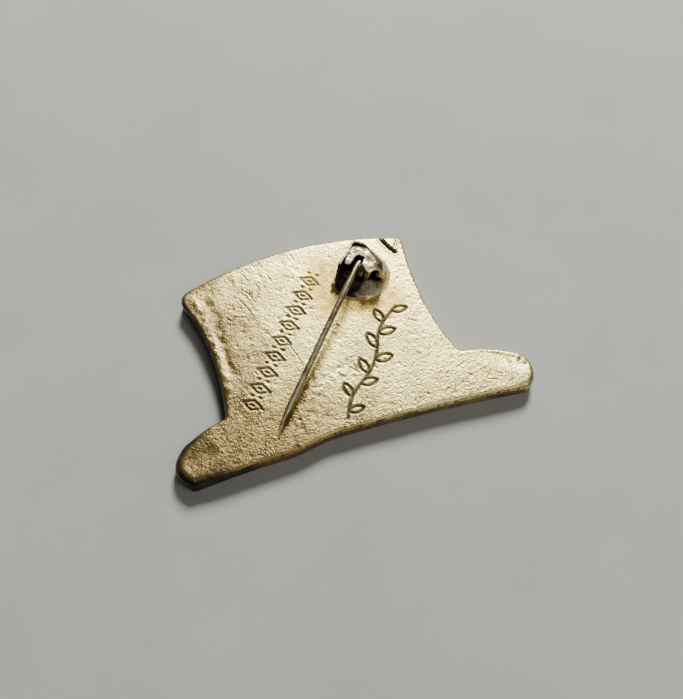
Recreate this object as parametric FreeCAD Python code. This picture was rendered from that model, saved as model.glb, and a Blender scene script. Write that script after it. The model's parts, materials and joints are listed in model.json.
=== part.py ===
"""Top-hat pin badge, lying on its front: cast body, enamel cells, soldered hinge and a sprung wire pin.

Millimetres. The badge lies in the XY plane with its enamelled front down at z = 0 and its back up.
+X runs along the brim, +Y towards the top of the crown. Sizes in the plane are first laid out from
the middle of the brim's underside, and every piece is then moved so that the body's box is centred.
"""
import FreeCAD, Part
import math
import os

V = FreeCAD.Vector
UP = V(0, 0, 1)

# ---- the cast body: outline, as seen from the back ----
BRIM_WIDTH = 41.4          # tip to tip
CROWN_TOP = 23.45          # highest point of the crown's top edge
THICKNESS = 2.0            # front face to back face
NOTCH_Y = 5.0              # where the brim meets the crown's sides
BRIM_END_TOP = 3.3         # where the brim's upper edge turns into the round end
BRIM_END_LOW = -1.5        # where the round end turns into the underside
BRIM_END_SETBACK = 1.5     # how far the round end reaches in from the tip
UNDERSIDE_CREST = (-2.5, -0.25)  # the underside is highest here
UNDERSIDE_STEP = (-9.0, -1.0)    # and steps down to here on the left
LEFT_WAIST = (-13.35, 10.5)      # narrowest point of the crown's left side
LEFT_TOP_FLARE = 2.0             # how far that side leans out at the top
LEFT_FOOT_FLARE = 0.5            # and at the brim
RIGHT_WAIST = (11.8, 14.5)
RIGHT_TOP_FLARE = 0.55
RIGHT_FOOT_FLARE = 1.6
LEFT_SHOULDER_DROP = 2.55        # how far the corners of the top edge lie below its highest point
RIGHT_SHOULDER_DROP = 2.25
CROWN_APEX_X = -1.0
LEFT_CORNER_R = 1.3
RIGHT_CORNER_R = 0.8
NOTCH_R = 0.5
BRIM_CORNER_R = 1.2              # where the round ends of the brim meet the underside
BACK_EDGE_R = 0.45               # softened edge round the back
FRONT_EDGE_R = 0.3               # softened edge round the front

# ---- enamel cells on the front ----
RIM_WIDTH = 1.0            # metal left round the cells
LINE_WIDTH = 0.6           # metal left between two cells
CELL_DEPTH = 0.6
BRIM_LINE_Y = 4.6          # middle of the line between brim and band, at the centre of the badge
BAND_HEIGHT = 4.4          # between the middles of the two lines
LINE_SAG = 1.0             # how much both lines sag from the crown's sides to its middle

# ---- the hinge, soldered to the back ----
HINGE_X = 5.55             # centre of its base
HINGE_BELOW_TOP = 5.6
PIN_ANGLE = 48.3           # from +X to the line from the pin's point to the hinge
BASE_R = 3.35
BASE_THICKNESS = 0.4
SHEET = 0.3                # thickness of the folded hood
CHEEK_Y = 1.9              # outside of the straight cheek, left of the pin
REAR_INSET = 0.95          # the rear wall stands in from the round of the base
SIDE_INSET = 0.1           # and so does the rolled side, right of the pin
CHEEK_BEND_R = 0.7         # outside radius of the bend between cheek and roof
REAR_BEND_R = 0.6          # outside radius of the bend between roof and rear wall
ROLL_R = 1.45              # outside radius of the rolled side
PRONG_X = -1.2             # front end of the roof left of the slot
LOBE_X = -1.05             # front end of the roof right of the slot
LOBE_Y = -1.4
ROLL_FRONT_X = 0.0         # where the rolled side's front end meets the base
CHEEK_FOOT_INSET = 0.25    # the cheek stops short of the base's corner
CHEEK_FOOT_HEIGHT = 0.5
SLOT_END_GAP = 0.1         # air behind the raised arm, at the rear end of its slot
SLOT_LEFT_GAP = 0.5        # the slot's room on the left of the arm
SLOT_RIGHT_GAP = 0.12
SOLDER_WIDTH = 0.45        # spread of the solder beyond the base
SOLDER_HEIGHT = 0.25

# ---- the pin: one wire ----
OPEN_ANGLE = 50.0          # the arm swings up this far
WIRE_D = 0.7
COIL_R = 0.72              # to the middle of the wire
COIL_TURNS = 2.25
TURN_GAP = 0.05            # air between two turns
COIL_GAP = 0.07            # air between the coil and the base, and the coil and the roof
LEAD_R = 1.4               # bend where the last turn straightens out
LEAD_LENGTH = 3.2          # from there to the arm's slight downward bend
LEAD_RISE = 1.0            # degrees
ARM_BEND_R = 15.0
PIN_REACH = 21.73          # from the coil's axis to the point, along the back
POINT_HEIGHT = 0.8         # the sprung arm holds its point this far off the back
TAPER_LENGTH = 2.6
POINT_R = 0.06

# ---- worked out ----
WIRE_R = WIRE_D / 2
BACK_Z = THICKNESS
BASE_TOP = BACK_Z + BASE_THICKNESS
COIL_Z = BASE_TOP + COIL_GAP + COIL_R + WIRE_R
ROOF_INSIDE = COIL_Z + COIL_R + WIRE_R + COIL_GAP
ROOF_TOP = ROOF_INSIDE + SHEET
HOOD_REAR_X = BASE_R - REAR_INSET
HOOD_SIDE_Y = SIDE_INSET - BASE_R
CHEEK_FOOT_X = CHEEK_FOOT_INSET - math.sqrt(BASE_R ** 2 - CHEEK_Y ** 2)
SLOT_END_X = (COIL_R + WIRE_R) * math.tan(math.radians(OPEN_ANGLE + LEAD_RISE) / 2) + SLOT_END_GAP
TILT = FreeCAD.Placement(V(HINGE_X, CROWN_TOP - HINGE_BELOW_TOP, 0), FreeCAD.Rotation(UP, PIN_ANGLE))


def arc(a, b, c):
    return Part.Arc(V(*a), V(*b), V(*c)).toShape()


def line(a, b):
    return Part.makeLine(V(*a), V(*b))


def slab(wire, low, high):
    """A flat piece with the given outline, from one height to another."""
    solid = Part.Face(wire).extrude(V(0, 0, high - low))
    solid.translate(V(0, 0, low))
    return solid


def plan(points, low, high):
    """The same, with straight sides through a few points."""
    corners = [V(x, y, 0) for x, y in points]
    return slab(Part.makePolygon(corners + corners[:1]), low, high)


def bow(start, heading, end):
    """An arc that leaves its start in the given direction and runs to its end."""
    start = V(*start)
    end = V(*end)
    inward = UP.cross(V(*heading)).normalize()
    chord = end - start
    radius = chord.Length ** 2 / (2 * chord.dot(inward))
    centre = start + inward * radius
    middle = centre + ((start + end) / 2 - centre).normalize() * abs(radius)
    return Part.Arc(start, middle, end).toShape()


def hat_outline():
    half = BRIM_WIDTH / 2
    left_notch = (LEFT_WAIST[0] - LEFT_FOOT_FLARE, NOTCH_Y)
    left_top = (LEFT_WAIST[0] - LEFT_TOP_FLARE, CROWN_TOP - LEFT_SHOULDER_DROP)
    right_notch = (RIGHT_WAIST[0] + RIGHT_FOOT_FLARE, NOTCH_Y)
    right_top = (RIGHT_WAIST[0] + RIGHT_TOP_FLARE, CROWN_TOP - RIGHT_SHOULDER_DROP)
    in_x = half - BRIM_END_SETBACK

    crest = UNDERSIDE_CREST
    step = UNDERSIDE_STEP
    between = ((crest[0] + step[0]) / 2, (crest[1] + step[1]) / 2)
    right = (1, 0)
    left = (-1, 0)
    up = (0, 1)
    down = (0, -1)
    edges = [
        bow(step, left, (-in_x, BRIM_END_LOW)),
        bow(step, right, between),
        bow(crest, left, between),
        bow(crest, right, (in_x, BRIM_END_LOW)),
    ]
    # each round end runs on smoothly into the brim's upper edge
    half_height = (BRIM_END_TOP - BRIM_END_LOW) / 2
    end_r = (half_height ** 2 + BRIM_END_SETBACK ** 2) / (2 * BRIM_END_SETBACK)
    tip_y = BRIM_END_LOW + half_height
    for side, notch in ((-1, left_notch), (1, right_notch)):
        top = (side * in_x, BRIM_END_TOP)
        edges.append(arc((side * in_x, BRIM_END_LOW), (side * half, tip_y), top))
        edges.append(bow(top, (-side * half_height, end_r - BRIM_END_SETBACK), notch))
    edges += [
        bow(RIGHT_WAIST, down, right_notch),
        bow(RIGHT_WAIST, up, right_top),
        arc(right_top, (CROWN_APEX_X, CROWN_TOP), left_top),
        bow(LEFT_WAIST, up, left_top),
        bow(LEFT_WAIST, down, left_notch),
    ]
    corners = [
        (left_top, LEFT_CORNER_R),
        (right_top, RIGHT_CORNER_R),
        (left_notch, NOTCH_R),
        (right_notch, NOTCH_R),
        ((-in_x, BRIM_END_LOW), BRIM_CORNER_R),
        ((in_x, BRIM_END_LOW), BRIM_CORNER_R),
    ]
    return Part.Wire(Part.__sortEdges__(edges)), corners


def face_at(solid, z):
    """The level face at a height."""
    level = [f for f in solid.Faces if abs(f.normalAt(0, 0).z) > 0.999]
    return [f for f in level if abs(f.CenterOfMass.z - z) < 1e-4][0]


def band_line(y_mid, low, high):
    """A strip of metal across the badge that sags in the middle."""
    reach = BRIM_WIDTH
    radius = (RIGHT_WAIST[0] ** 2 + LINE_SAG ** 2) / (2 * LINE_SAG)
    outer = Part.Circle(V(0, y_mid + radius, 0), UP, radius + LINE_WIDTH / 2).toShape()
    inner = Part.Circle(V(0, y_mid + radius, 0), UP, radius - LINE_WIDTH / 2).toShape()
    ring = slab(Part.Wire(outer), low, high).cut(slab(Part.Wire(inner), low, high))
    window = plan([
        (-reach, y_mid - 3), (reach, y_mid - 3), (reach, y_mid + 8), (-reach, y_mid + 8),
    ], low, high)
    return ring.common(window)


def make_body_and_enamel():
    outline, corners = hat_outline()
    blank = slab(outline, 0, THICKNESS)
    for (x, y), radius in corners:
        upright = [e for e in blank.Edges if all(math.hypot(v.X - x, v.Y - y) < 1e-3 for v in e.Vertexes)]
        blank = blank.makeFillet(radius, upright)
    body = blank.makeFillet(BACK_EDGE_R, face_at(blank, THICKNESS).OuterWire.Edges)
    body = body.makeFillet(FRONT_EDGE_R, face_at(body, 0).OuterWire.Edges)
    field = slab(outline.makeOffset2D(-RIM_WIDTH, 0), 0, CELL_DEPTH)
    for y in (BRIM_LINE_Y, BRIM_LINE_Y + BAND_HEIGHT):
        field = field.cut(band_line(y, 0, CELL_DEPTH))
    cells = sorted((s for s in field.Solids if s.Volume > 1), key=lambda s: s.CenterOfMass.y)
    for cell in cells:
        body = body.cut(cell)
    return body.Solids[0], cells


# ---- the hinge is made with the pin's line along X, the point towards -X, and the cheek at +Y ----

def base_plan(grow):
    """Round plate cut straight along the cheek."""
    disc = Part.Face(Part.Wire(Part.Circle(V(0, 0, 0), UP, BASE_R + grow).toShape()))
    limit = CHEEK_Y + grow
    reach = BASE_R * 2
    keep = Part.Face(Part.makePolygon([
        V(-reach, -reach, 0), V(reach, -reach, 0), V(reach, limit, 0), V(-reach, limit, 0),
        V(-reach, -reach, 0),
    ]))
    return disc.common(keep)


def make_base():
    solid = base_plan(0).extrude(V(0, 0, BASE_THICKNESS))
    solid.translate(V(0, 0, BACK_Z))
    return solid.Solids[0]


def make_solder(base):
    """A bevelled ring of solder round the edge of the base."""
    solid = base_plan(SOLDER_WIDTH).extrude(V(0, 0, SOLDER_HEIGHT)).Solids[0]
    solid.translate(V(0, 0, BACK_Z))
    top = face_at(solid, BACK_Z + SOLDER_HEIGHT)
    solid = solid.makeChamfer(SOLDER_HEIGHT * 0.9, SOLDER_WIDTH * 0.9, top.OuterWire.Edges)
    return solid.cut(base).Solids[0]


def hood_section(inset):
    """Cheek, roof and rolled side, seen along the pin: outside with no inset, inside with one."""
    cheek = CHEEK_Y - inset
    side = HOOD_SIDE_Y + inset
    roof = ROOF_TOP - inset
    bend = CHEEK_BEND_R - inset
    roll = ROLL_R - inset
    low = BASE_TOP
    d = 1 - math.sqrt(0.5)
    edges = [
        line((0, side, low), (0, cheek, low)),
        line((0, cheek, low), (0, cheek, roof - bend)),
        arc((0, cheek, roof - bend), (0, cheek - d * bend, roof - d * bend), (0, cheek - bend, roof)),
        line((0, cheek - bend, roof), (0, side + roll, roof)),
        arc((0, side + roll, roof), (0, side + d * roll, roof - d * roll), (0, side, roof - roll)),
        line((0, side, roof - roll), (0, side, low)),
    ]
    face = Part.Face(Part.Wire(edges))
    front = -2 * BASE_R
    rear = HOOD_REAR_X - inset
    face.translate(V(front, 0, 0))
    solid = face.extrude(V(rear - front, 0, 0))
    at_rear = [e for e in solid.Edges if e.BoundBox.XMin > rear - 1e-3 and e.CenterOfMass.z > roof - 1e-3]
    return solid.makeFillet(REAR_BEND_R - inset, at_rear)


def make_hood():
    low = BASE_TOP - 1
    high = ROOF_TOP + 1
    round_outside = slab(Part.Wire(Part.Circle(V(0, 0, 0), UP, BASE_R).toShape()), low, high)
    round_inside = slab(Part.Wire(Part.Circle(V(0, 0, 0), UP, BASE_R - SHEET).toShape()), low, high)
    far = 2 * BASE_R
    rear_half = plan([(ROLL_FRONT_X, -far), (far, -far), (far, far), (ROLL_FRONT_X, far)], low, high)
    front_half = plan([(-far, -far), (ROLL_FRONT_X, -far), (ROLL_FRONT_X, far), (-far, far)], low, high)
    outside = hood_section(0).common(round_outside.fuse(front_half))
    inside = hood_section(SHEET).common(round_inside.common(rear_half).fuse(front_half))
    hood = outside.cut(inside)
    # the front edge of the sheet, seen from above: cheek, prong, slot, lobe and rolled side
    arm_left = WIRE_R + SLOT_LEFT_GAP
    arm_right = -(WIRE_R + SLOT_RIGHT_GAP)
    mouth = plan([
        (-far, far), (-far, -far), (ROLL_FRONT_X, -far), (ROLL_FRONT_X, HOOD_SIDE_Y), (LOBE_X, LOBE_Y),
        (LOBE_X / 3, arm_right), (SLOT_END_X, arm_right), (SLOT_END_X, arm_left),
        (PRONG_X, arm_left), (PRONG_X, CHEEK_Y - SHEET), (CHEEK_FOOT_X, CHEEK_Y - SHEET),
        (CHEEK_FOOT_X, far),
    ], low, high)
    hood = hood.cut(mouth)
    # the cheek's sloping front edge
    slope = Part.Face(Part.makePolygon([
        V(CHEEK_FOOT_X - 1, 0, BASE_TOP + CHEEK_FOOT_HEIGHT),
        V(CHEEK_FOOT_X, 0, BASE_TOP + CHEEK_FOOT_HEIGHT),
        V(PRONG_X, 0, ROOF_TOP), V(PRONG_X, 0, high), V(CHEEK_FOOT_X - 1, 0, high),
        V(CHEEK_FOOT_X - 1, 0, BASE_TOP + CHEEK_FOOT_HEIGHT),
    ])).extrude(V(0, far, 0))
    return max(hood.cut(slope).Solids, key=lambda s: s.Volume)


def bend(ring, start, leave, arrive, radius):
    """A round stretch of wire from one direction to another: the solid and where it ends."""
    hinge = leave.cross(arrive).normalize()
    swing = math.degrees(leave.getAngle(arrive))
    centre = start + hinge.cross(leave) * radius
    end = centre + FreeCAD.Rotation(hinge, swing).multVec(start - centre)
    return Part.Face(ring).revolve(centre, hinge, swing), end


def make_pin():
    """The coil, the bend out of its last turn, the arm and its ground point: one wire."""
    pitch = WIRE_D + TURN_GAP
    helix = Part.makeHelix(pitch, pitch * COIL_TURNS, COIL_R, 0, True)
    # stand the helix's axis along -Y, its start at the top of the coil and its first turn going to +X
    turn = FreeCAD.Matrix(0, -1, 0, 0, 0, 0, -1, 0, 1, 0, 0, COIL_Z, 0, 0, 0, 1)
    helix = helix.transformGeometry(turn)
    start = V(0, 0, COIL_Z + COIL_R)
    rise = pitch / (2 * math.pi * COIL_R)
    leave = V(-1, rise, 0).normalize()
    ring = Part.Wire(Part.Circle(start, leave, WIRE_R).toShape())
    coil = Part.Wire(helix.Edges).makePipeShell([ring], True, True)
    first = math.radians(LEAD_RISE)
    lead = V(-math.cos(first), 0, math.sin(first))
    first_bend, here = bend(ring, start, leave, lead, LEAD_R)
    # one more bend, towards the point
    corner = here + lead * LEAD_LENGTH
    point = V(-PIN_REACH, here.y, BACK_Z + POINT_HEIGHT)
    along = (point - corner).normalize()
    trim = ARM_BEND_R * math.tan(lead.getAngle(along) / 2)
    lead_rod = Part.makeCylinder(WIRE_R, LEAD_LENGTH - trim, here, lead)
    here = corner - lead * trim
    ring = Part.Wire(Part.Circle(here, lead, WIRE_R).toShape())
    second_bend, here = bend(ring, here, lead, along, ARM_BEND_R)
    shaft_length = here.distanceToPoint(point) - TAPER_LENGTH
    shaft = Part.makeCylinder(WIRE_R, shaft_length, here, along)
    taper = Part.makeCone(WIRE_R, POINT_R, TAPER_LENGTH, here + along * shaft_length, along)
    wire = coil.fuse([first_bend, lead_rod, second_bend, shaft, taper])
    middle = here + along * (shaft_length / 2)
    return wire.removeSplitter().Solids[0], middle, along, shaft_length


def main():
    os.makedirs("parts", exist_ok=True)
    body, (brim, band, crown) = make_body_and_enamel()
    base = make_base()
    pin, shaft_middle, shaft_along, shaft_length = make_pin()
    pieces = {
        "badge_body": body,
        "brim_enamel": brim,
        "band_enamel": band,
        "crown_enamel": crown,
    }
    for name, piece in (
        ("hinge_base", base),
        ("hinge_hood", make_hood()),
        ("solder_fillet", make_solder(base)),
        ("pin_wire", pin),
    ):
        placed = piece.copy()
        placed.Placement = TILT.multiply(piece.Placement)
        pieces[name] = placed
    box = body.optimalBoundingBox(False)
    shift = V(-(box.XMin + box.XMax) / 2, -(box.YMin + box.YMax) / 2, 0)
    for name, piece in pieces.items():
        piece.translate(shift)
        piece.exportStep(f"parts/{name}.step")
        print(name, piece.ShapeType, piece.isValid(), round(piece.Volume, 3), len(piece.Solids))
    pivot = TILT.multVec(V(0, 0, COIL_Z)) + shift
    axis = TILT.Rotation.multVec(V(0, 1, 0))
    middle = TILT.multVec(shaft_middle) + shift
    along = TILT.Rotation.multVec(shaft_along)
    print("box", box.XLength, box.YLength, ROOF_TOP, "shift", shift)
    print("pivot", pivot, "axis", axis)
    print("shaft middle", middle, "direction", along, "length", shaft_length)


main()
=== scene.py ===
# %% [markdown]
# # A top-hat badge, seen from its back
#
# The object is a small cast badge in the outline of a top hat. It lies on its enamelled front, so
# what shows is the cast back, with a soldered hinge that holds one sprung wire, the pin itself.
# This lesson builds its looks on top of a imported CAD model. The CAD model says where every piece is
# and how big it is. Here each plain solid is replaced by a mesh with the detail of the real thing.
# Lengths are thought of in millimetres and turned into metres when a mesh is made.

# %% Load the frame
import json
import math
import bmesh
import bpy
import numpy as np
from mathutils import Matrix, Vector, geometry


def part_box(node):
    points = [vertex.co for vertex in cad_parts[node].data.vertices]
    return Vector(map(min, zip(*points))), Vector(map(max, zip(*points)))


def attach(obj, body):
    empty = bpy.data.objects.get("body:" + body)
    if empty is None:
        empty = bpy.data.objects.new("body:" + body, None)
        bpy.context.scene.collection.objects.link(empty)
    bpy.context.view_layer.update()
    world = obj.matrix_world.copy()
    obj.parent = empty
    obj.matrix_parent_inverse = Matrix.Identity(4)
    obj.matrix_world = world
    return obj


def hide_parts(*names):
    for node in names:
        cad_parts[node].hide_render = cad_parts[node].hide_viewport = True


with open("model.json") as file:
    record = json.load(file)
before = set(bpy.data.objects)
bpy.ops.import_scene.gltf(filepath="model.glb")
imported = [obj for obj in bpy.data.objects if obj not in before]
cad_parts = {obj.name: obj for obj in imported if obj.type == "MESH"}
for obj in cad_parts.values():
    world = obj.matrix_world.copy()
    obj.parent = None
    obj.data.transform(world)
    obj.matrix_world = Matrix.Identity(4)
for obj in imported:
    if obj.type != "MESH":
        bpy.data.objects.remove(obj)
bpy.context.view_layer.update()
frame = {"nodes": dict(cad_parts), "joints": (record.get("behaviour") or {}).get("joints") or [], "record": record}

MM = 0.001

# %% [markdown]
# ## Where things are
#
# Nothing is measured by eye here. The hinge's place comes from the joint, the wire's thickness and
# line from the mount on its shaft, and heights from the boxes of the CAD pieces. The hinge stands
# askew on the badge, so its own pieces are drawn in a local frame and turned into place: x runs
# from the pin's point towards the hinge, y to the left of it, z up.

# %% Read the driving sizes from the frame
JOINT = frame["joints"][0]
SHAFT = [m for m in frame["record"]["mounts"] if m["name"] == "pin_shaft"][0]
COIL_CENTRE = np.array(JOINT["pos_m"]) / MM
BACK_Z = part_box("badge_body")[1].z / MM
BASE_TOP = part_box("hinge_base")[1].z / MM
HOOD_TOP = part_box("hinge_hood")[1].z / MM
CELL_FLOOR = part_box("crown_enamel")[1].z / MM
WIRE_R = SHAFT["dims"]["r_mm"]
LEFT_OF_PIN = np.array(JOINT["axis"])
REARWARD = np.array([LEFT_OF_PIN[1], -LEFT_OF_PIN[0], 0.0])
print("hinge at", COIL_CENTRE.round(2), "back face at", BACK_Z, "roof at", round(HOOD_TOP, 2))


# %% Turn hinge coordinates into the badge's, and back
def from_hinge(local):
    """Points in the hinge's own frame, in mm with z from the table, as points of the badge."""
    local = np.asarray(local, float)
    flat = COIL_CENTRE * (1, 1, 0)
    return flat + local[:, :1] * REARWARD + local[:, 1:2] * LEFT_OF_PIN + local[:, 2:] * (0, 0, 1)


def to_hinge(x, y):
    """Where points of the badge lie beside the hinge: rearward and left of the pin."""
    dx = x - COIL_CENTRE[0]
    dy = y - COIL_CENTRE[1]
    return dx * REARWARD[0] + dy * REARWARD[1], dx * LEFT_OF_PIN[0] + dy * LEFT_OF_PIN[1]


# %% [markdown]
# ## Small tools for shapes
#
# Three things come up again and again: smooth random bumps, outlines that are read from a CAD piece
# and cut into even steps, and a way to fill an outline with small, even triangles. The triangles
# matter, because the back is shaped by moving each point up or down, like clay on a board.

# %% Smooth steps and smooth random bumps
def ease(value):
    """0 below 0, 1 above 1 and a smooth rise between."""
    t = np.clip(value, 0, 1)
    return t * t * (3 - 2 * t)


def lumps(x, y, size, seed):
    """Smooth random bumps from -1 to 1 that are about size mm apart."""
    table = np.random.RandomState(seed).uniform(-1, 1, (256, 256))
    u = np.asarray(x) / size + 500
    v = np.asarray(y) / size + 500
    i = np.floor(u).astype(int)
    j = np.floor(v).astype(int)
    a = ease(u - i)
    b = ease(v - j)
    here = table[i % 256, j % 256] * (1 - a) + table[(i + 1) % 256, j % 256] * a
    above = table[i % 256, (j + 1) % 256] * (1 - a) + table[(i + 1) % 256, (j + 1) % 256] * a
    return here * (1 - b) + above * b


print("bumps range from", lumps(np.arange(50.0), 0, 1.7, 1).min().round(2), "up")


# %% Outlines read from a CAD piece
def level_outlines(node, z):
    """The closed outlines of a CAD piece at one height, in mm, longest first."""
    bm = bmesh.new()
    bm.from_mesh(frame["nodes"][node].data)
    bmesh.ops.remove_doubles(bm, verts=bm.verts, dist=1e-7)
    level = [e for e in bm.edges if all(abs(v.co.z / MM - z) < 2e-3 for v in e.verts)]
    level = [e for e in level if not all(abs(f.normal.z) > 0.999 for f in e.link_faces)]
    beside = {}
    for edge in level:
        for a, b in (edge.verts, reversed(edge.verts)):
            beside.setdefault(a.index, []).append(b.index)
    place = {v.index: (v.co.x / MM, v.co.y / MM) for v in bm.verts}
    outlines = []
    while beside:
        walk = [next(iter(beside))]
        while beside.get(walk[-1]):
            step = beside[walk[-1]].pop()
            beside[step].remove(walk[-1])
            walk.append(step)
        outlines.append(np.array([place[k] for k in walk[:-1]]))
        beside = {k: found for k, found in beside.items() if found}
    bm.free()
    return sorted(outlines, key=lambda points: -abs(area_of(points)))


def area_of(points):
    """The area inside an outline, above 0 if it runs anticlockwise."""
    x, y = points.T
    return 0.5 * float(np.sum(x * np.roll(y, -1) - y * np.roll(x, -1)))


def walk(line):
    """How far along a line each of its points lies."""
    return np.concatenate([[0], np.cumsum(np.linalg.norm(np.diff(line, axis=0), axis=1))])


def pick(line, walked, at):
    """The places on a line at some lengths along it."""
    return np.column_stack([np.interp(at, walked, values) for values in line.T])


def even_steps(points, step):
    """An outline in even steps, anticlockwise, from its rightmost point."""
    if area_of(points) < 0:
        points = points[::-1]
    points = np.roll(points, -int(points[:, 0].argmax()), axis=0)
    closed = np.vstack([points, points[:1]])
    walked = walk(closed)
    count = max(8, round(walked[-1] / step))
    return pick(closed, walked, np.arange(count) * walked[-1] / count)


def outward(points):
    """Unit normals that point out of an anticlockwise outline, slightly smoothed."""
    along = np.roll(points, -1, axis=0) - np.roll(points, 1, axis=0)
    normal = np.column_stack([along[:, 1], -along[:, 0]])
    normal = normal + np.roll(normal, 1, axis=0) + np.roll(normal, -1, axis=0)
    return normal / np.linalg.norm(normal, axis=1)[:, None]


# %% Tell inside from outside, and how far the nearest line is
def inside(points, outlines):
    """True where a point is inside the first outline and in no hole, by counting crossings."""
    x, y = points.T
    odd = np.zeros(len(points), bool)
    for outline in outlines:
        for (ax, ay), (bx, by) in zip(outline, np.roll(outline, -1, axis=0)):
            if ay != by:
                crosses = (ay > y) != (by > y)
                odd ^= crosses & (x < (bx - ax) * (y - ay) / (by - ay) + ax)
    return odd


FAR = 1e3


def distance_to(points, starts, ends):
    """How far each point is from the nearest of some straight lines."""
    nearest = np.full(len(points), FAR)
    for a, b in zip(starts, ends):
        run = b - a
        share = np.clip((points - a) @ run / max(run @ run, 1e-12), 0, 1)
        gap = np.linalg.norm(points - a - share[:, None] * run, axis=1)
        nearest = np.minimum(nearest, gap)
    return nearest


def from_outline(points, outline):
    """How far each point is from a closed outline."""
    return distance_to(points, outline, np.roll(outline, -1, axis=0))


def from_strokes(points, strokes):
    """How far each point is from the nearest of some open strokes."""
    starts = np.vstack([s[:-1] for s in strokes])
    ends = np.vstack([s[1:] for s in strokes])
    return distance_to(points, starts, ends)


def beside(points, strokes, width, power=2):
    """1 on some strokes, fading away over about that width."""
    return np.exp(-(from_strokes(points, strokes) / width) ** power)


def grid_inside(outlines, step, margin, seed):
    """Points about step mm apart inside an outline, slightly uneven, clear of its edges."""
    low = outlines[0].min(axis=0)
    high = outlines[0].max(axis=0)
    rows = np.arange(low[1], high[1], step * 0.866)
    columns = np.arange(low[0], high[0], step)
    x, y = np.meshgrid(columns, rows)
    x = x + (np.arange(len(rows)) % 2)[:, None] * step / 2
    points = np.column_stack([x.ravel(), y.ravel()])
    points += np.random.RandomState(seed).uniform(-0.12, 0.12, points.shape) * step
    points = points[inside(points, outlines)]
    clear = np.ones(len(points), bool)
    for outline in outlines:
        for middle in (outline + np.roll(outline, -1, axis=0)) / 2:
            close = np.abs(points - middle).max(axis=1) < margin + step
            if close.any():
                clear[close] &= np.linalg.norm(points[close] - middle, axis=1) > margin
    return points[clear]


# %% Keep the triangles that lie between rings
def between_rings(triangles, ring_edges):
    """Walks in from the outside over shared edges; each ring that is crossed changes sides."""
    fixed = {frozenset(edge) for edge in ring_edges}
    sides = [[frozenset((a, b)), frozenset((b, c)), frozenset((c, a))] for a, b, c in triangles.tolist()]
    sharing = {}
    for k, three in enumerate(sides):
        for edge in three:
            sharing.setdefault(edge, []).append(k)
    within = [None] * len(sides)
    queue = []
    for edge, found in sharing.items():
        if len(found) == 1 and within[found[0]] is None:
            within[found[0]] = edge in fixed
            queue.append(found[0])
    while queue:
        k = queue.pop()
        for edge in sides[k]:
            for other in sharing[edge]:
                if within[other] is None:
                    within[other] = within[k] != (edge in fixed)
                    queue.append(other)
    return np.array(within, bool)


# %% A shell that grows into one closed mesh
class Shell:
    """Points and faces, added row by row and patch by patch."""

    def __init__(self):
        self.points = []
        self.faces = []
        self.count = 0

    def row(self, points, z=None):
        """Adds points, or flat points at a height z, and gives back their numbers."""
        if z is not None:
            points = np.column_stack([points, np.broadcast_to(z, len(points))])
        self.points.append(np.asarray(points, float))
        numbers = np.arange(self.count, self.count + len(points))
        self.count += len(points)
        return numbers

    def bridge(self, upper, lower, turned=False):
        """Joins two closed rows with four-sided faces."""
        quads = np.column_stack([upper, lower, np.roll(lower, -1), np.roll(upper, -1)])
        self.faces += (quads[:, ::-1] if turned else quads).tolist()

    def fill(self, flat, rings, extra, numbers, turned=False):
        """Fills rings of existing points, with extra points inside, by even triangles."""
        edges = []
        start = 0
        for ring in rings:
            edges += [(start + k, start + (k + 1) % len(ring)) for k in range(len(ring))]
            start += len(ring)
        every = np.vstack([flat[:start], extra]) if len(extra) else flat[:start]
        made = geometry.delaunay_2d_cdt([Vector(p) for p in every], edges, [], 0, 1e-7, True)
        corners = np.array([[made[3][v][0] for v in triangle] for triangle in made[2]])
        triangles = numbers[corners[between_rings(corners, edges)]]
        self.faces += (triangles[:, ::-1] if turned else triangles).tolist()

    def piece(self, name, material, attributes=None):
        """The mesh object, in metres, smooth, with any named point attributes."""
        points = np.vstack(self.points)
        mesh = bpy.data.meshes.new(name)
        mesh.from_pydata((points * MM).tolist(), [], self.faces)
        if signed_volume(mesh) < 0:
            mesh.flip_normals()
        mesh.shade_smooth()
        for label, values in (attributes or {}).items():
            mark(mesh, label, values)
        mesh.materials.append(material)
        thing = put_in_scene(name, mesh)
        report(thing)
        return thing


def mark(mesh, label, values):
    """A number on each point of a mesh, for a material or a Geometry Nodes tree to read."""
    layer = mesh.attributes.new(label, "FLOAT", "POINT")
    layer.data.foreach_set("value", np.asarray(values, np.float32))


def put_in_scene(name, data):
    """A new object that shows a mesh, a light or a camera."""
    thing = bpy.data.objects.new(name, data)
    bpy.context.scene.collection.objects.link(thing)
    return thing


def signed_volume(mesh):
    """The volume in mm3, below 0 if the faces point inwards."""
    bm = bmesh.new()
    bm.from_mesh(mesh)
    volume = bm.calc_volume(signed=True) / MM ** 3
    bm.free()
    return volume


def report(thing):
    """Says how big a finished piece is and whether its surface is closed."""
    bm = bmesh.new()
    bm.from_mesh(thing.data)
    open_edges = sum(1 for e in bm.edges if len(e.link_faces) != 2)
    triangles = sum(len(f.verts) - 2 for f in bm.faces)
    print(thing.name, triangles, "triangles,", open_edges, "open edges,",
          round(signed_volume(thing.data), 2), "mm3")
    bm.free()


# %% [markdown]
# ## Finishes
#
# Every finish is a node material. A small helper keeps the trees short, and the Geometry Nodes
# trees further on too: it makes a node, sets its plain values and links the rest. Colours are
# linear. Patterns read Object coordinates, which are
# metres in the badge's frame, so a noise scale of 4000 gives features about a quarter millimetre
# wide. Where a finish follows the shape, such as grime in an engraved line, the mesh carries an
# attribute and the material reads it.

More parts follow.
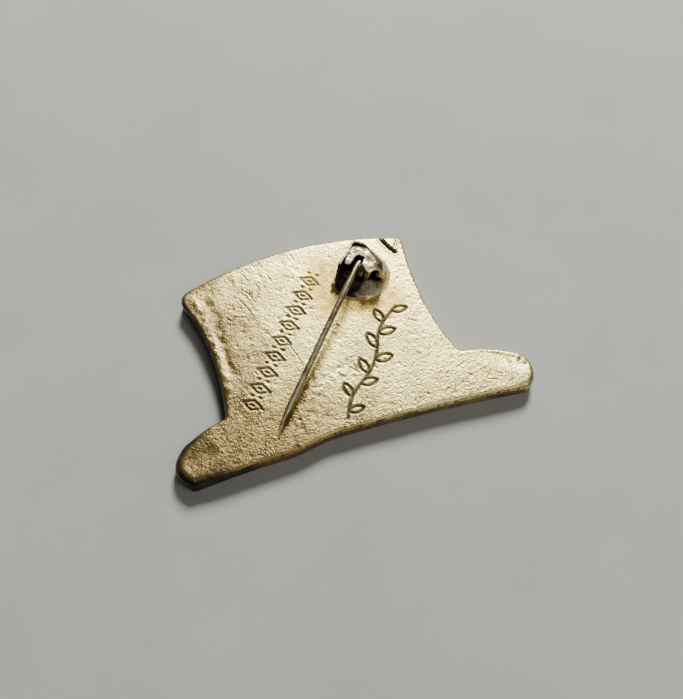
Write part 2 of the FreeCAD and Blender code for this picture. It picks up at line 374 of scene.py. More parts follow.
# %% Helpers for node trees
class Nodes:
    """Adds nodes to a tree and links them, with short calls."""

    def __init__(self, tree):
        self.tree = tree

    def node(self, kind, settings=None, **inputs):
        """Adds a node; an input is a plain value or another node's output."""
        made = self.tree.nodes.new(kind)
        for key, value in (settings or {}).items():
            setattr(made, key, value)
        for key, value in inputs.items():
            self.feed(made.inputs[key.replace("_", " ")], value)
        return made

    def feed(self, socket, value):
        """Links an output to a socket, or sets the socket's own value."""
        if isinstance(value, bpy.types.NodeSocket):
            self.tree.links.new(value, socket)
        else:
            socket.default_value = value

    def math(self, operation, a, b):
        """One arithmetic step."""
        made = self.node("ShaderNodeMath", {"operation": operation})
        self.feed(made.inputs[0], a)
        self.feed(made.inputs[1], b)
        return made.outputs[0]


class Finish(Nodes):
    """A material that is built step by step."""

    def __init__(self, name):
        self.material = bpy.data.materials.new(name)
        self.material.use_nodes = True
        super().__init__(self.material.node_tree)
        self.tree.nodes.clear()
        self.shader = self.node("ShaderNodeBsdfPrincipled")
        self.node("ShaderNodeOutputMaterial", Surface=self.shader.outputs[0])
        self.place = self.node("ShaderNodeTexCoord").outputs["Object"]

    def noise(self, scale, detail=2.0, rough=0.5, where=None, distortion=0.0):
        """Cloudy noise from 0 to 1."""
        made = self.node("ShaderNodeTexNoise", Vector=where or self.place, Scale=scale,
                         Detail=detail, Roughness=rough, Distortion=distortion)
        return made.outputs[0]

    def veiled(self, mask, scale, detail, rough, low, high):
        """A mask broken up by noise."""
        return self.math("MULTIPLY", mask, self.spread(self.noise(scale, detail, rough), low, high))

    def cells(self, scale):
        """Distance to scattered points."""
        return self.node("ShaderNodeTexVoronoi", Vector=self.place, Scale=scale).outputs["Distance"]

    def turned(self, where, settings=None, **inputs):
        """Coordinates that are turned or stretched."""
        return self.node("ShaderNodeMapping", settings, Vector=where, **inputs).outputs[0]

    def spread(self, value, low, high, to_low=0.0, to_high=1.0):
        """Maps low..high to a new range, smoothly and clamped."""
        made = self.node("ShaderNodeMapRange", {"interpolation_type": "SMOOTHSTEP"})
        for socket, number in zip(made.inputs[:5], (value, low, high, to_low, to_high)):
            self.feed(socket, number)
        return made.outputs[0]

    def mix(self, share, a, b):
        """Mixes two colours."""
        made = self.node("ShaderNodeMix", {"data_type": "RGBA"})
        self.feed(made.inputs[0], share)
        for socket, colour in ((made.inputs[6], a), (made.inputs[7], b)):
            self.feed(socket, colour if isinstance(colour, bpy.types.NodeSocket) else (*colour, 1.0))
        return made.outputs[2]

    def attribute(self, name):
        """A point attribute's value."""
        return self.node("ShaderNodeAttribute", {"attribute_name": name}).outputs["Fac"]

    def bump(self, height, depth_mm, under=None):
        """Small relief, of that depth in mm where the height goes from 0 to 1."""
        made = self.node("ShaderNodeBump", Strength=1.0, Distance=depth_mm * MM, Height=height)
        if under is not None:
            self.feed(made.inputs["Normal"], under)
        return made.outputs[0]

    def finish(self, *inputs):
        """Feeds colour, roughness, metal and relief to the shader and gives back the material."""
        for label, value in zip(("Base Color", "Roughness", "Metallic", "Normal"), inputs):
            self.feed(self.shader.inputs[label], value)
        return self.material


# %% [markdown]
# ### Worn plating on a rough casting
#
# The badge is white metal, thinly plated, and the plating has yellowed. The finish starts from a
# pale yellow, clouded with browner patches; painted shade makes it browner and darker to the left,
# on the low side, on the side walls and at the left tip of the brim. Grime sits in cuts and pits,
# and painted shade is laid near black on the left wall, the crown's rim, the brim's left tip, the
# foot of the wall and round the hinge's base. The soldering has left an ochre stain round the hinge,
# and copper shows where the plating has worn off the low edge. The skin is pebbled like orange
# peel: real bumps carry the big ones, and two bumps in the material add the ones that are too small
# for the mesh.

# %% The casting's finish
def worn_plating():
    tree = Finish("worn_plating")
    grime = tree.attribute("grime")
    stain = tree.attribute("stain")
    copper = tree.attribute("copper")
    dull = tree.attribute("dull")
    clouds = tree.noise(330, 4, 0.6)
    grains = tree.noise(6200, 3, 0.6)
    specks = tree.cells(2100)
    patchy = tree.spread(clouds, 0.35, 0.7, 0.0, 0.5)
    # Browner patches at random, and painted shade: browner and darker to the left, on the low side, on the side
    # walls and at the left tip of the brim.
    patchy = tree.math("ADD", patchy, tree.math("MULTIPLY", dull, 0.75))
    colour = tree.mix(patchy, (0.92, 0.79, 0.31), (0.36, 0.26, 0.105))
    colour = tree.mix(tree.spread(grains, 0.52, 0.70, 0.0, 0.6), colour, (0.25, 0.17, 0.08))
    ochre = tree.veiled(stain, 1500, 4, 0.7, 0.30, 0.52)
    colour = tree.mix(ochre, colour, (0.90, 0.64, 0.16))
    rosy = tree.veiled(copper, 900, 3, 0.6, 0.42, 0.62)
    colour = tree.mix(rosy, colour, (0.45, 0.22, 0.14))
    pinholes = tree.veiled(tree.spread(specks, 0.05, 0.17, 1.0, 0.0), 700, 2, 0.5, 0.38, 0.52)
    dark = tree.math("MAXIMUM", grime, pinholes)
    # Near black in cuts and pits, and painted shade on the left wall, the crown's rim, the brim's left tip, the
    # foot of the wall and round the hinge's base.
    colour = tree.mix(dark, colour, (0.018, 0.012, 0.007))
    rough = tree.spread(tree.noise(1200, 3, 0.6), 0.3, 0.7, 0.27, 0.42)
    rough = tree.math("ADD", rough, tree.math("MULTIPLY", ochre, 0.25))
    metal = tree.math("SUBTRACT", 1.0, tree.math("MULTIPLY", ochre, 0.35))
    metal = tree.math("SUBTRACT", metal, tree.math("MULTIPLY", dark, 0.45))
    pebbles = tree.bump(tree.noise(3300, 3, 0.55), 0.058)
    fine = tree.bump(grains, 0.034, under=pebbles)
    return tree.finish(colour, rough, metal, fine)


PLATING = worn_plating()
print("casting finish:", len(PLATING.node_tree.nodes), "nodes")


# %% [markdown]
# ### Tarnished sheet, steel wire and solder
#
# The hood was folded from thin brass sheet, plated and then heated by the soldering, so it is
# blotched grey and olive, with bare brass along its cut edges. The wire is drawn steel with faint
# lengthwise lines and brown oxide. The solder is lumpy, and stained as yellow as the plating.

# %% Hinge, wire and solder finishes
def tarnished_sheet(name, light, dark, metal=0.95):
    tree = Finish(name)
    edge = tree.attribute("edge")
    soot = tree.attribute("soot")
    blotch = tree.noise(900, 4, 0.65, distortion=0.6)
    streak = tree.noise(2600, 3, 0.6)
    colour = tree.mix(tree.spread(blotch, 0.41, 0.56), light, dark)
    colour = tree.mix(tree.spread(streak, 0.52, 0.70, 0.0, 0.7), colour, (0.07, 0.05, 0.03))
    bare = tree.veiled(edge, 1400, 3, 0.5, 0.30, 0.55)
    colour = tree.mix(bare, colour, (0.62, 0.54, 0.38))
    # The soot mask also carries painted shade: under the hood, on the cheek's sides and in the crease along the
    # cheek.
    colour = tree.mix(soot, colour, (0.012, 0.009, 0.007))
    rough = tree.spread(blotch, 0.3, 0.7, 0.26, 0.48)
    dents = tree.bump(tree.noise(1500, 3, 0.5), 0.10)
    fine = tree.bump(streak, 0.02, under=dents)
    return tree.finish(colour, rough, metal, fine)


def drawn_steel():
    tree = Finish("drawn_steel")
    turn = math.atan2(REARWARD[1], REARWARD[0])
    aligned = tree.turned(tree.place, {"vector_type": "TEXTURE"}, Rotation=(0, 0, turn))
    lines = tree.noise(9000, 3, 0.6, where=tree.turned(aligned, Scale=(0.06, 1, 1)))
    rust = tree.noise(1100, 4, 0.65)
    colour = tree.mix(tree.spread(rust, 0.40, 0.66), (0.52, 0.45, 0.30), (0.22, 0.155, 0.075))
    colour = tree.mix(tree.spread(lines, 0.5, 0.7, 0.0, 0.6), colour, (0.10, 0.075, 0.035))
    rough = tree.spread(lines, 0.3, 0.7, 0.26, 0.44)
    return tree.finish(colour, rough, 0.95, tree.bump(lines, 0.014))


def soft_solder():
    tree = Finish("soft_solder")
    blotch = tree.noise(1300, 4, 0.65)
    flux = tree.spread(tree.noise(800, 3, 0.6), 0.45, 0.62)
    colour = tree.mix(tree.spread(blotch, 0.35, 0.65), (0.82, 0.70, 0.36), (0.42, 0.30, 0.12))
    colour = tree.mix(flux, colour, (0.62, 0.42, 0.14))
    rough = tree.spread(blotch, 0.3, 0.7, 0.32, 0.6)
    metal = tree.spread(flux, 0.0, 1.0, 0.9, 0.3)
    return tree.finish(colour, rough, metal, tree.bump(tree.noise(2400, 3, 0.6), 0.06))


SHEET = tarnished_sheet("tarnished_sheet", (0.46, 0.42, 0.24), (0.10, 0.08, 0.04))
RIM_SHEET = tarnished_sheet("rubbed_sheet", (0.30, 0.29, 0.22), (0.17, 0.155, 0.11), 0.35)
COPPERY_SHEET = tarnished_sheet("coppery_sheet", (0.80, 0.56, 0.32), (0.26, 0.12, 0.045), 0.45)
PLATED_SHEET = tarnished_sheet("plated_sheet", (0.92, 0.83, 0.56), (0.52, 0.40, 0.20), 0.20)
STEEL = drawn_steel()
SOLDER = soft_solder()
METALS = (SHEET, RIM_SHEET, COPPERY_SHEET, PLATED_SHEET, STEEL, SOLDER)
print("metal finishes:", [finish.name for finish in METALS])


# %% [markdown]
# ### Enamel and burnt flux
#
# The cells on the front are filled with hard enamel: glass-like, glossy, very slightly wavy and
# scuffed with hairlines from wear. Burnt flux is a brittle amber crumb that is not metal at all.

# %% Enamel and flux finishes
def enamel(name, colour, cloudy):
    tree = Finish(name)
    drift = tree.spread(tree.noise(420, 3), 0.3, 0.7)
    shade = tree.mix(drift, colour, cloudy)
    scuff_place = tree.turned(tree.place, Scale=(1, 0.05, 1), Rotation=(0, 0, 0.5))
    scuffs = tree.spread(tree.noise(5200, 2, 0.5, where=scuff_place), 0.62, 0.74)
    dust = tree.veiled(tree.spread(tree.cells(1500), 0.04, 0.10, 1.0, 0.0), 350, 2, 0.5, 0.5, 0.65)
    shade = tree.mix(tree.math("MULTIPLY", dust, 0.35), shade, (0.30, 0.28, 0.25))
    rough = tree.math("ADD", tree.math("MULTIPLY", scuffs, 0.22), tree.math("MULTIPLY", dust, 0.3))
    rough = tree.math("ADD", rough, 0.09)
    waves = tree.bump(tree.noise(520, 2, 0.4), 0.05)
    tree.shader.inputs["Coat Weight"].default_value = 0.4
    tree.shader.inputs["Coat Roughness"].default_value = 0.05
    return tree.finish(shade, rough, 0.0, tree.bump(scuffs, 0.003, under=waves))


def burnt_flux():
    tree = Finish("burnt_flux")
    colour = tree.mix(tree.noise(1800, 3), (0.55, 0.36, 0.12), (0.12, 0.06, 0.02))
    return tree.finish(colour, tree.spread(tree.noise(2500, 2), 0.3, 0.7, 0.35, 0.75), 0.0)


BLACK_ENAMEL = enamel("black_enamel", (0.006, 0.006, 0.007), (0.014, 0.013, 0.013))
RED_ENAMEL = enamel("red_enamel", (0.30, 0.008, 0.016), (0.18, 0.004, 0.010))
FLUX = burnt_flux()
print("glassy finishes:", BLACK_ENAMEL.name, RED_ENAMEL.name, FLUX.name)

# %% [markdown]
# ## The cast back
#
# This is the piece that the eye is on, so it gets the most points. The CAD body is a flat slab with
# neat fillets. The real casting is pebbled and pitted, a bead stands along one side with a hollow
# behind it, and ornament is engraved into it. One way would be to subdivide and displace the CAD
# mesh, but its long thin triangles would tear the relief. Instead only the outline is taken from
# the CAD, its inside is filled with small even triangles, and a height in mm is worked out for
# every point. The engraved lines get rows of points of their own, so that their walls are crisp.

# %% Take the outlines of the body and its three cells
def upright_top(node):
    """The height where the upright side wall of a CAD piece ends."""
    heights = np.array([v.co.z / MM for v in frame["nodes"][node].data.vertices])
    levels = np.unique(heights.round(3))
    return float(levels[int(np.diff(levels).argmax()) + 1])


WALL_TOP = upright_top("badge_body")
BACK_ROUND = BACK_Z - WALL_TOP
RIM_STEP = 0.14
CELL_STEP = 0.2
OUTLINE = even_steps(level_outlines("badge_body", WALL_TOP)[0], RIM_STEP)
RUBBED_TIP = 0.32 * ease((-18.6 - OUTLINE[:, 0]) / 1.4)
OUTLINE = OUTLINE - outward(OUTLINE) * RUBBED_TIP[:, None]
OUTLINE_NORMAL = outward(OUTLINE)
BASE_OUTLINE = level_outlines("hinge_base", BASE_TOP)[0]
CELL_NODES = ("brim_enamel", "band_enamel", "crown_enamel")
CELLS = [even_steps(level_outlines(node, CELL_FLOOR)[0], CELL_STEP) for node in CELL_NODES]
print("outline of", len(OUTLINE), "steps, cells of", [len(c) for c in CELLS], "steps")

# %% [markdown]
# ### Engraved ornament
#
# Two lines of engraving run beside the pin. They are drawn here as plain ornament: a row of
# lozenges with dots between them on the left, and a leafy sprig on a wavy stem on the right. Each is
# a list of strokes, worked out along its own base line, so a designer can swap one for another.


# %% Strokes for the lozenge row
def along_line(start, end, strokes):
    """Moves strokes drawn along x onto a line of the badge."""
    start = np.array(start)
    run = np.array(end) - start
    run = run / np.linalg.norm(run)
    side = np.array([-run[1], run[0]])
    return [start + stroke[:, :1] * run + stroke[:, 1:] * side for stroke in strokes]


def lozenge_row(length, height, pitch):
    strokes = []
    for k in range(int(length / pitch)):
        x = (k + 0.5) * pitch
        w = pitch * 0.27
        h = height / 2
        strokes.append(np.array([(x - w, 0), (x, h), (x + w, 0), (x, -h), (x - w, 0)]))
        strokes.append(np.array([(x, -h * 0.22), (x, h * 0.22)]))
        for y in (-0.45, 0.45):
            strokes.append(np.array([(x + pitch / 2, y * h - 0.04), (x + pitch / 2, y * h + 0.04)]))
    return strokes


def sprig(length, sway, leaf):
    """A wavy stem with pointed leaves on both sides."""
    t = np.linspace(0, 1, 60)
    stem = np.column_stack([t * length, sway * np.sin(t * 3.2 * np.pi)])
    strokes = [stem]
    count = 9
    for k in range(count):
        foot = stem[int((k + 0.6) / count * 59)]
        side = 1 if k % 2 else -1
        lean = math.radians(52) * side
        size = leaf * (1.0 - 0.35 * abs(k - count / 2) / count)
        s = np.linspace(0, 1, 9)
        width = 0.22 * size * np.sin(s * np.pi) ** 0.8
        for edge in (-1, 1):
            x = s * size
            y = edge * width
            turned = np.column_stack([
                foot[0] + x * math.cos(lean) - y * math.sin(lean),
                foot[1] + x * math.sin(lean) + y * math.cos(lean),
            ])
            strokes.append(turned)
    return strokes


LOZENGES = along_line((-11.4, -6.3), (1.2, 9.2), lozenge_row(19.8, 2.3, 2.1))
SPRIG = along_line((-1.3, -10.0), (8.2, 1.7), sprig(15.0, 0.42, 2.1))
print("ornament:", len(LOZENGES), "and", len(SPRIG), "strokes")

# %% [markdown]
# ### Marks of casting and wear
#
# Real surfaces are recognised by their accidents. These are listed one by one: a few scratches, one
# gouge near the hinge, and rough patches where the mould was damaged. Each mark is a stroke with a
# depth and a width, so they share the code that cuts the ornament.

# %% Scratches and the gouge
SCRATCHES = [
    np.array([(-10.6, 5.7), (-10.2, 5.1), (-9.7, 5.5), (-9.1, 5.3), (-8.4, 5.1)]),
    np.array([(-7.5, 10.8), (-7.2, 10.3), (-7.1, 9.9)]),
    np.array([(-7.9, 8.6), (-7.3, 7.9), (-7.0, 6.8)]),
    np.array([(-8.6, 7.6), (-8.1, 6.4), (-7.7, 5.3)]),
    np.array([(-4.6, 9.6), (-4.4, 9.0)]),
    np.array([(9.2, -0.6), (9.9, -1.0)]),
    np.array([(-4.9, 0.6), (-4.3, -1.2), (-4.1, -2.4)]),
    np.array([(12.3, -7.9), (13.1, -7.6)]),
    np.array([(15.2, -10.3), (15.9, -10.6)]),
    np.array([(0.9, -4.4), (1.6, -5.2)]),
    np.array([(2.4, -3.6), (2.9, -5.1)]),
]
RUBS = [
    np.array([(-15.7, -8.0), (-15.3, -9.0), (-14.6, -9.9), (-13.6, -10.6)]),
    np.array([(-16.3, -7.9), (-15.9, -8.9), (-15.2, -9.9), (-14.3, -10.7)]),
    np.array([(-14.6, -7.6), (-14.4, -8.4), (-13.9, -9.2)]),
]
GOUGE = [np.array([(9.75, 11.05), (10.0, 10.1), (10.45, 9.1), (10.85, 8.45)])]
NICK = [np.array([(11.0, 9.1), (11.6, 9.9)])]
# strokes, then the cut's depth, half its width and the height of the metal pushed up beside it
CUTS = [
    (LOZENGES, 0.15, 0.10, 0.030),
    (SPRIG, 0.19, 0.11, 0.020),
    (SCRATCHES, 0.045, 0.07, 0.015),
    (RUBS, 0.014, 0.06, 0.010),
    (GOUGE, 0.45, 0.15, 0.06),
    (NICK, 0.10, 0.12, 0.05),
]
print("marks:", sum(len(row[0]) for row in CUTS), "strokes in", len(CUTS), "kinds of cut")


def cut(points, strokes, depth, half_width, burr):
    """Height of a round-bottomed cut along strokes, with metal pushed up beside it."""
    away = from_strokes(points, strokes)
    groove = depth * np.exp(-(away / half_width) ** 2)
    return burr * np.exp(-((away - 2.1 * half_width) / half_width) ** 2) - groove


# %% Pits where gas was caught in the casting
def pit_field(points, count, seed):
    """Scattered shallow pits."""
    rng = np.random.RandomState(seed)
    low = OUTLINE.min(axis=0)
    high = OUTLINE.max(axis=0)
    centres = rng.uniform(low, high, (count, 2))
    radii = rng.uniform(0.07, 0.19, count)
    depths = rng.uniform(0.015, 0.05, count)
    height = np.zeros(len(points))
    for centre, radius, depth in zip(centres, radii, depths):
        near = np.abs(points - centre).max(axis=1) < 2.5 * radius
        away = np.linalg.norm(points[near] - centre, axis=1) / radius
        height[near] -= depth * np.exp(-away ** 2)
    return height


# %% The height of the back, in mm above its plane
def near_stroke(points, stroke, reach):
    """1 on a stroke, falling smoothly to 0 at its reach."""
    return ease(1 - from_strokes(points, [np.array(stroke)]) / reach)


def relief(points):
    """Every bump, hollow and cut of the cast back."""
    x, y = points.T
    rearward, leftward = to_hinge(x, y)
    from_hinge_centre = np.hypot(rearward, leftward)
    coarse = 1 + 0.6 * ease((-4 - x) / 6) - 0.35 * ease((x - 1) / 8)
    calm = near_stroke(points, [(-18, -9.6), (-13, -8.4), (-8, -9.4)], 4.2)
    coarse = coarse * (1 - 0.8 * calm)
    height = coarse * 0.008 * lumps(x, y, 0.85, 11)
    height += coarse * 0.006 * lumps(x * 0.8 + y * 0.6, y * 0.8 - x * 0.6, 0.42, 12)
    height += 0.05 * lumps(x, y, 5.0, 13)
    rough = near_stroke(points, [(-5.6, -9.0), (-4.0, -7.2), (-2.6, -4.6), (2.2, -4.4)], 1.9)
    height += rough * (0.032 * lumps(x, y, 0.6, 14) + 0.02 * lumps(x, y, 0.33, 15))
    height += pit_field(points, 900, 16) * (1 - 0.5 * calm)
    # the bead along the left of the crown, and the hollow behind it
    bead = near_stroke(points, [(-13.5, 8.8), (-12.9, 3.0), (-12.6, -3.5)], 0.9)
    hollow = near_stroke(points, [(-12.3, 8.6), (-11.7, 6.2), (-11.8, 3.0), (-12.0, -1.0)], 0.75)
    height += bead * (0.05 + 0.06 * lumps(x, y, 0.7, 17))
    height -= hollow * (0.03 + 0.06 * lumps(x, y, 0.8, 18)) * ease((y + 3) / 4)
    # a low swelling round the hinge, where plating and solder built up
    height += 0.02 * ease((5.2 - from_hinge_centre) / 1.2)
    height *= 0.25 + 0.75 * ease((from_hinge_centre - 3.3) / 0.9)
    # a shallow dish in the spoon-like left end of the brim
    height -= 0.10 * near_stroke(points, [(-18.4, -9.6), (-17.2, -9.2)], 1.8)
    # the right end of the brim droops a little towards its rear edge
    towards_rear = 0.45 * (x - 19.5) + 0.9 * (y + 8.6)
    height -= 0.30 * ease((towards_rear + 2.2) / 2.4) * ease((x - 14) / 4)
    for strokes, depth, half_width, burr in CUTS:
        height += cut(points, strokes, depth, half_width, burr)
    return height


# %% [markdown]
# ### Lay out the points of the back
#
# The rounded edge of the back is wider at the tips of the brim, most of all at the left one, where
# the casting was rubbed down, so its width is itself a smooth function of place. The flat part
# starts where the rounding ends. Around each engraved stroke the even grid makes room for rows of points
# that follow the stroke.

# %% Points for the flat part
def rounding(points):
    """How wide the softened edge of the back is at each step of the outline."""
    x, y = points.T
    soft = BACK_ROUND + 0.60 * ease((-15.4 - x) / 3.4) + 0.30 * ease((x - 16.5) / 3)
    return soft + 0.07 * lumps(x, y, 1.3, 21)


def stroke_rows(strokes, spacing, offsets):
    """Rows of points along and beside strokes."""
    rows = []
    for stroke in strokes:
        walked = walk(stroke)
        count = max(2, round(walked[-1] / spacing) + 1)
        line = pick(stroke, walked, np.linspace(0, walked[-1], count))
        heading = np.gradient(line, axis=0)
        heading /= np.linalg.norm(heading, axis=1)[:, None]
        side = np.column_stack([-heading[:, 1], heading[:, 0]])
        rows += [line + side * offset for offset in offsets]
    return np.vstack(rows)


def thin_out(points, least):
    """Drops points that lie closer than least to an earlier one."""
    seen = {}
    kept = []
    for k, (x, y) in enumerate((points / least).tolist()):
        cell = (math.floor(x), math.floor(y))
        around = [seen.get((cell[0] + i, cell[1] + j), ()) for i in (-1, 0, 1) for j in (-1, 0, 1)]
        if not any((x - u) ** 2 + (y - v) ** 2 < 1 for near in around for u, v in near):
            seen.setdefault(cell, []).append((x, y))
            kept.append(k)
    return points[kept]


ROUND_WIDTH = rounding(OUTLINE)
FLAT_EDGE = OUTLINE - OUTLINE_NORMAL * ROUND_WIDTH[:, None]
GRID_STEP = 0.15
STROKES = LOZENGES + SPRIG + SCRATCHES + GOUGE
STROKE_STEP = 0.12
BESIDE_STROKE = (0, 0.1, -0.1, 0.21, -0.21)
STROKE_ROOM = 0.29
LEAST_GAP = 0.075
stroke_points = thin_out(stroke_rows(STROKES, STROKE_STEP, BESIDE_STROKE), LEAST_GAP)
grid_points = grid_inside([FLAT_EDGE], GRID_STEP, 0.09, 22)
grid_points = grid_points[from_strokes(grid_points, STROKES) > STROKE_ROOM]
stroke_points = stroke_points[inside(stroke_points, [FLAT_EDGE])]
BACK_POINTS = np.vstack([grid_points, stroke_points])
print(len(grid_points), "even points and", len(stroke_points), "along the strokes")

# %% [markdown]
# ### Close the body
#
# From the edge of the flat part the mesh goes down in rows: round the soft edge, down the side wall,
# round the front edge, and in to the enamelled front. There the metal between the cells is filled,
# each cell gets a small bevel, a wall and a floor, and the shell is closed. The side wall is
# roughened inwards only, so that the badge never grows past its CAD box.


# %% Rows round the edge and down the wall
def side_rows():
    """Offsets inwards and heights of each row, from the flat back to the front."""
    x, y = OUTLINE.T
    rows = []
    for turn in np.linspace(0, math.pi / 2, 8)[1:]:
        rows.append((ROUND_WIDTH * (1 - math.sin(turn)), BACK_Z - BACK_ROUND_NOW * (1 - math.cos(turn))))
    wall_top = BACK_Z - BACK_ROUND_NOW
    for share in np.linspace(0, 1, 8)[1:]:
        z = wall_top + (FRONT_ROUND - wall_top) * share
        wear = 0.5 + 0.5 * lumps(x + z * 0.9, y - z * 0.7, 0.55, 31)
        seam = np.exp(-((z - 0.95) / 0.12) ** 2)
        rows.append((0.05 * wear + 0.035 * seam, z))
    for turn in np.linspace(0, math.pi / 2, 5)[1:]:
        wear = 0.03 * (0.5 + 0.5 * lumps(x, y, 0.6, 32))
        rows.append((FRONT_ROUND * (1 - math.cos(turn)) + wear, FRONT_ROUND * (1 - math.sin(turn))))
    return rows


FRONT_ROUND = 0.3
DEEPEST_ROUND = 1.15
BACK_ROUND_NOW = np.minimum(ROUND_WIDTH, DEEPEST_ROUND)
body = Shell()
flat_xy = np.vstack([FLAT_EDGE, BACK_POINTS])
flat_height = relief(flat_xy)
flat_numbers = body.row(flat_xy, BACK_Z + flat_height)
edge_row = flat_numbers[:len(OUTLINE)]
body.fill(flat_xy, [edge_row], BACK_POINTS, flat_numbers)
above = edge_row
for k, (inset, z) in enumerate(side_rows()):
    ring = OUTLINE - OUTLINE_NORMAL * np.reshape(inset, (-1, 1))
    fade = max(0.0, 1 - (k + 1) / 6)
    lift = flat_height[:len(OUTLINE)] * fade
    below = body.row(ring, z + lift)
    body.bridge(above, below)
    above = below
FRONT_EDGE_ROW = above
FRONT_EDGE_XY = ring
print("body so far:", body.count, "points")


# %% The metal front with its three cells
CELL_BEVEL = 0.05
front_rings = [FRONT_EDGE_ROW]
front_flat = [FRONT_EDGE_XY]
floors = []
for cell in CELLS:
    grown = cell + outward(cell) * CELL_BEVEL
    brim_row = body.row(grown, 0)
    lip_row = body.row(cell, CELL_BEVEL)
    floor_row = body.row(cell, CELL_FLOOR)
    body.bridge(brim_row, lip_row)
    body.bridge(lip_row, floor_row)
    front_rings.append(brim_row)
    front_flat.append(grown)
    floors.append((cell, floor_row))
body.fill(np.vstack(front_flat), front_rings, [], np.concatenate(front_rings), turned=True)
for cell, floor_row in floors:
    body.fill(cell, [floor_row], [], floor_row, turned=True)
print("body closed with", body.count, "points")


# %% Where grime, painted shade, stain, copper and dullness lie
def most(*masks):
    """The strongest of some masks at each point."""
    return np.maximum.reduce(masks)


def body_attributes(points):
    """Masks from 0 to 1 for the casting's finish."""
    flat = points[:, :2]
    x, y, z = points.T
    rearward, leftward = to_hinge(x, y)
    away = np.hypot(rearward, leftward)
    on_back = ease((z - 1.2) / 0.5)
    hollow = near_stroke(flat, [(-12.2, 8.2), (-11.7, 6.4), (-11.8, 3.0)], 0.7)
    cuts = most(
        0.72 * beside(flat, LOZENGES, 0.13), beside(flat, SPRIG, 0.14), 0.5 * beside(flat, SCRATCHES, 0.10),
        beside(flat, GOUGE, 0.25, 4), 0.8 * hollow * ease(0.2 + 1.2 * lumps(x, y, 0.8, 41)),
    )
    # Dirt and painted shade round the foot of the hinge's base.
    contact = 0.8 * beside(flat, [BASE_OUTLINE], 0.35) * ease(1.5 - rearward)
    contact = contact * ease(0.5 + lumps(x, y, 0.9, 44)) * ease((leftward + 0.4) / 1.2)
    rim = from_outline(flat, OUTLINE)
    patchy = ease(0.55 + 0.8 * lumps(x, y, 1.0, 45))
    crown_left = ease((2 - x) / 10) * ease((y + 4) / 3)
    brim_left = ease((-12.5 - x) / 4) * ease((-6.5 - y) / 1)
    blots = ease(0.45 + 1.1 * lumps(x + 0.8 * z, y - 0.9 * z, 0.75, 48))
    # Painted shade on the rounded rim along the crown, stronger to the left, in blots.
    shaded_rim = np.exp(-(rim / 0.50) ** 2) * crown_left * (0.35 + 0.65 * blots) * ease((z - 0.5) / 1.4)
    # Painted dark reflection on the rounded left tip of the brim.
    shaded_tip = np.exp(-(rim / 1.0) ** 4) * brim_left * (0.80 + 0.20 * patchy)
    # Painted shade on the left side wall.
    side = 1 - ease((z - 1.78) / 0.2)
    left_wall = side * ease((-10.5 - x) / 2.5) * ease((z - 0.22) / 0.15) * (0.92 + 0.08 * patchy)
    low_wall = (1 - on_back) * ease((-9.0 - y) / 1.6) * 0.9 * ease(2.2 * lumps(x, z * 2, 0.7, 46) - 0.9)
    # Painted shade at the foot of the side wall, next to the table.
    bottom = 0.85 * ease((0.45 - z) / 0.25) * ease((x + 9) / 3)
    chain = np.exp(-((z - 1.72) / 0.16) ** 2) * ease((-7.5 - y) / 1.5) * ease(2.4 * lumps(x, y, 0.28, 47))
    on_walls = most(left_wall, low_wall, bottom, 0.9 * chain)
    # All near-black marks together: grime in cuts and pits, and the painted shade below the back.
    grime = most(most(cuts, contact) * on_back, shaded_rim, shaded_tip, on_walls)
    front_side = ease((1.6 - rearward) / 2.5)
    stain = ease((6.9 - away + 1.3 * lumps(x, y, 1.6, 42)) / 2.0) * front_side * on_back
    low_edge = ease((-9.0 - y) / 1.6) * ease((1.75 - z) / 0.5)
    tip = near_stroke(flat, [(-19.6, -10.2), (-17.6, -9.6)], 3.0)
    copper = most(low_edge, 0.7 * tip * ease((BACK_Z - 0.05 - z) / 0.2))
    # Painted shade, browner and darker to the left, on the low side, on the walls and at the left tip, with
    # browner patches at random.
    left = ease((1 - x - 0.3 * y) / 14)
    walls = 1 - on_back
    low = ease((-4.0 - y) / 5)
    dull = 1.1 * left + 0.35 * walls + 1.0 * tip + 0.25 * low + 0.22 * lumps(x, y, 2.6, 43)
    dull = np.clip(dull, 0, 1.3)
    return {"grime": grime, "stain": stain, "copper": copper, "dull": dull}


cast_body = body.piece("cast_body", PLATING, body_attributes(np.vstack(body.points)))
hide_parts("badge_body")
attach(cast_body, "badge")

# %% [markdown]
# ## Enamel in its cells
#
# Each cell on the front is poured with enamel. It fills the cell to just under the metal lines and
# creeps up at the edges, as any liquid does. The CAD pieces are flat prisms, so each is replaced by
# a closed piece whose visible face has that gentle hollow.


# %% Pour the enamel
def pour(name, node, cell, material):
    """A closed filling whose face dips a little between the metal lines."""
    shell = Shell()
    rim = cell - outward(cell) * 0.01
    extra = grid_inside([rim], 0.35, 0.2, 51)
    flat = np.vstack([rim, extra])
    away = from_outline(flat, rim)
    dip = 0.07 + 0.09 * (1 - np.exp(-(away / 0.4) ** 1.5)) + 0.006 * lumps(flat[:, 0], flat[:, 1], 1.5, 52)
    numbers = shell.row(flat, dip)
    face_row = numbers[:len(rim)]
    top_row = shell.row(rim, CELL_FLOOR - 0.005)
    shell.fill(flat, [face_row], extra, numbers, turned=True)
    shell.bridge(top_row, face_row)
    shell.fill(rim, [top_row], [], top_row)
    piece = shell.piece(name, material)
    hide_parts(node)
    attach(piece, "badge")


for node, cell in zip(CELL_NODES, CELLS):
    if node == "band_enamel":
        pour("band_filling", node, cell, RED_ENAMEL)
    else:
        pour(node.replace("enamel", "filling"), node, cell, BLACK_ENAMEL)

